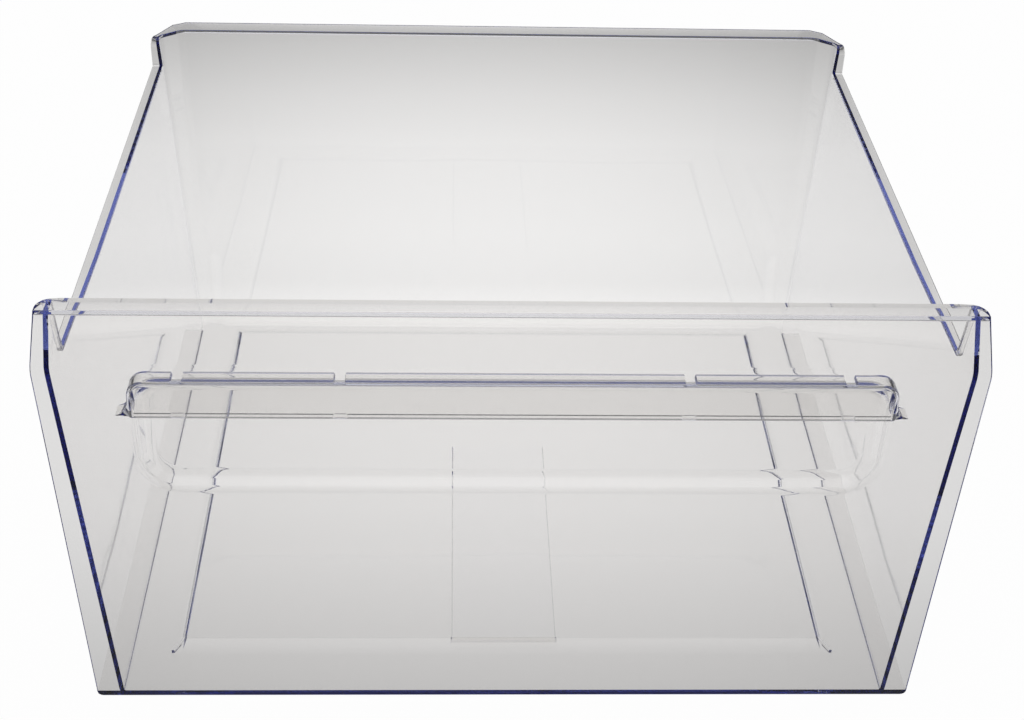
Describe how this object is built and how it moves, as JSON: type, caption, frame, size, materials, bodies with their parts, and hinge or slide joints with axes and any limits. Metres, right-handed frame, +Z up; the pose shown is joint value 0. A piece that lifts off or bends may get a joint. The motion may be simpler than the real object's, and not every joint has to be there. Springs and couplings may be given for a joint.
{
  "type": "fridge drawer",
  "caption": "Clear open-top drawer for a fridge or freezer, with a wide front panel, pull handle, side rails and raised rear corners.",
  "frame": {"origin": "middle of the bounding box in plan, at the underside", "axes": "+Z up, the front panel and handle face -Y, +X to the right seen from behind the handle's front"},
  "size_m": [0.46, 0.395, 0.245],
  "materials": {
    "clear_plastic": "clear, polished, faint blue tint at the edges"
  },
  "bodies": {
    "root": {"back_lower_panel": "clear_plastic", "back_rim": "clear_plastic", "back_wall": "clear_plastic", "finger_recess": "clear_plastic", "floor_centre_strip": "clear_plastic", "floor_panel": "clear_plastic", "front_panel": "clear_plastic", "front_top_ledge": "clear_plastic", "handle_ledge": "clear_plastic", "handle_left_end": "clear_plastic", "handle_lip": "clear_plastic", "handle_right_end": "clear_plastic", "left_bottom_runner": "clear_plastic", "left_front_corner": "clear_plastic", "left_front_gusset": "clear_plastic", "left_rear_corner": "clear_plastic", "left_rear_corner_rim": "clear_plastic", "left_rear_stop": "clear_plastic", "left_side_wall": "clear_plastic", "left_top_rail": "clear_plastic", "lip_tabs": "clear_plastic", "right_bottom_runner": "clear_plastic", "right_front_corner": "clear_plastic", "right_front_gusset": "clear_plastic", "right_rear_corner": "clear_plastic", "right_rear_corner_rim": "clear_plastic", "right_rear_stop": "clear_plastic", "right_side_wall": "clear_plastic", "right_top_rail": "clear_plastic"}
  },
  "joints": []
}
